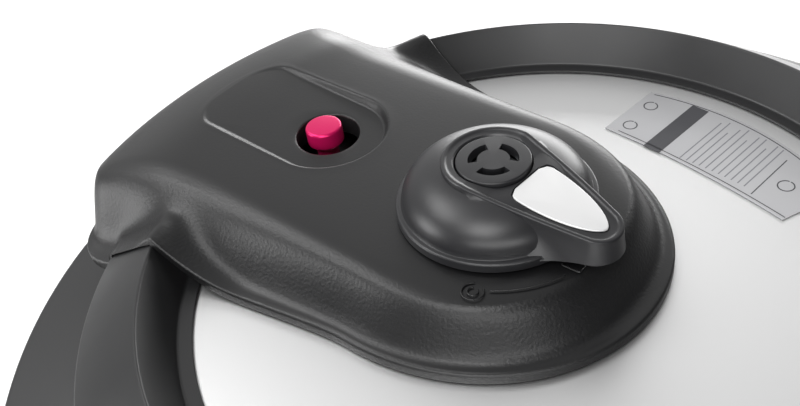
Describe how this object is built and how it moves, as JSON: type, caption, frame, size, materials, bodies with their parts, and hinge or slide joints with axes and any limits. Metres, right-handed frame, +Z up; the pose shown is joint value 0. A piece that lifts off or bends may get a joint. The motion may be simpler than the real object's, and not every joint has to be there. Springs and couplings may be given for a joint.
{
  "type": "electric pressure cooker",
  "caption": "Electric pressure cooker with a bayonet lid, turning steam valve, float valve, removable pot and a front control panel.",
  "frame": {"origin": "centre of the footprint on the table, under the cooker's axis", "axes": "+Z up, -Y towards the control panel, +Y towards the lid handle's grip, +X to the right seen from the front"},
  "size_m": [0.37, 0.3456, 0.317],
  "materials": {
    "black_plastic": "moulded ABS, satin with a fine spark-eroded grain",
    "gloss_black": "glossy black acrylic overlay",
    "brushed_steel": "satin stainless steel sheet",
    "steel": "plain bright steel",
    "aluminium": "satin aluminium",
    "rubber": "matt black rubber",
    "silicone": "translucent white silicone",
    "silver_paint": "silver painted ABS",
    "magenta_anodised": "magenta anodised aluminium",
    "label": "satin grey film label with plain rules",
    "clear_plastic": "clear polycarbonate",
    "white_plastic": "white nylon",
    "circuit_board": "green solder resist"
  },
  "bodies": {
    "housing": {"base_cover": "black_plastic", "foot_1": "rubber", "foot_2": "rubber", "foot_3": "rubber", "foot_4": "rubber", "base_screw_1": "steel", "base_screw_2": "steel", "base_screw_3": "steel", "body_shell": "brushed_steel", "top_ring": "black_plastic", "outer_pot": "aluminium", "heating_plate": "aluminium", "sensor_bracket": "steel", "sensor_spring": "steel", "pressure_switch": "white_plastic", "thermal_fuse": "steel", "power_board": "circuit_board", "panel_frame": "black_plastic", "panel_face": "gloss_black", "display_window": "gloss_black", "control_board": "circuit_board", "side_handle_left": "black_plastic", "side_handle_right": "black_plastic", "power_inlet": "black_plastic", "inlet_pins": "steel", "cup_bracket": "black_plastic"},
    "sensor": {"sensor_cap": "aluminium"},
    "key_1": {"button_1": "silver_paint"},
    "key_2": {"button_2": "silver_paint"},
    "key_3": {"button_3": "silver_paint"},
    "key_4": {"button_4": "silver_paint"},
    "key_5": {"button_5": "silver_paint"},
    "key_6": {"button_6": "silver_paint"},
    "cup": {"condensation_cup": "clear_plastic"},
    "pot": {"inner_pot": "aluminium"},
    "seal": {"sealing_ring": "silicone", "seal_support_ring": "steel"},
    "lid": {"lid_pressure_plate": "steel", "lid_cover_plate": "brushed_steel", "lid_bezel": "black_plastic", "lid_label": "label", "handle_cover": "black_plastic", "handle_base": "black_plastic", "grip_screw_1": "steel", "grip_screw_2": "steel", "lid_screw_1": "steel", "lid_screw_2": "steel", "vent_pipe": "steel", "vent_nut": "steel", "anti_block_shield": "steel", "float_guide": "aluminium", "lock_bracket": "steel", "lock_spring": "steel"},
    "valve_slider": {"valve_weight": "steel"},
    "valve_turner": {"valve_knob": "black_plastic", "valve_cap": "black_plastic", "valve_insert": "silver_paint"},
    "float": {"float_valve": "magenta_anodised", "float_seal": "silicone"},
    "lock": {"lock_rod": "steel"}
  },
  "joints": [
    {"name": "lid_lift", "type": "slide", "parent": "housing", "child": "seal", "axis": [0, 0, 1], "range_m": [0, 0.4]},
    {"name": "lid_turn", "type": "hinge", "parent": "seal", "child": "lid", "pos_m": [0, 0, 0.265], "axis": [0, 0, 1], "range_deg": [0, 22.5]},
    {"name": "pot_lift", "type": "slide", "parent": "housing", "child": "pot", "axis": [0, 0, 1], "range_m": [0, 0.18]},
    {"name": "valve_rise", "type": "slide", "parent": "lid", "child": "valve_slider", "axis": [0, 0, 1], "range_m": [0, 0.003]},
    {"name": "valve_turn", "type": "hinge", "parent": "valve_slider", "child": "valve_turner", "pos_m": [0, 0.01245, 0.3], "axis": [0, 0, 1], "range_deg": [-62, 0]},
    {"name": "float_rise", "type": "slide", "parent": "lid", "child": "float", "axis": [0, 0, 1], "range_m": [0, 0.0035]},
    {"name": "lock_push", "type": "slide", "parent": "lid", "child": "lock", "axis": [0, 1, 0], "range_m": [-0.003, 0], "stiffness_N_per_m": 300, "springref_m": 0.003, "deforming": ["lock_spring"]},
    {"name": "sensor_press", "type": "slide", "parent": "housing", "child": "sensor", "axis": [0, 0, 1], "range_m": [-0.002, 0], "stiffness_N_per_m": 1500, "springref_m": 0.002, "deforming": ["sensor_spring"]},
    {"name": "cup_pull", "type": "slide", "parent": "housing", "child": "cup", "axis": [0, 1, 0], "range_m": [0, 0.03]},
    {"name": "button_1_press", "type": "slide", "parent": "housing", "child": "key_1", "axis": [0, 1, 0], "range_m": [0, 0.001], "stiffness_N_per_m": 600, "springref_m": -0.001},
    {"name": "button_2_press", "type": "slide", "parent": "housing", "child": "key_2", "axis": [0, 1, 0], "range_m": [0, 0.001], "stiffness_N_per_m": 600, "springref_m": -0.001},
    {"name": "button_3_press", "type": "slide", "parent": "housing", "child": "key_3", "axis": [0, 1, 0], "range_m": [0, 0.001], "stiffness_N_per_m": 600, "springref_m": -0.001},
    {"name": "button_4_press", "type": "slide", "parent": "housing", "child": "key_4", "axis": [0, 1, 0], "range_m": [0, 0.001], "stiffness_N_per_m": 600, "springref_m": -0.001},
    {"name": "button_5_press", "type": "slide", "parent": "housing", "child": "key_5", "axis": [0, 1, 0], "range_m": [0, 0.001], "stiffness_N_per_m": 600, "springref_m": -0.001},
    {"name": "button_6_press", "type": "slide", "parent": "housing", "child": "key_6", "axis": [0, 1, 0], "range_m": [0, 0.001], "stiffness_N_per_m": 600, "springref_m": -0.001}
  ],
  "couplings": [
    {"joint": "pot_lift", "follows": "lid_lift", "ratio": 0.45}
  ]
}
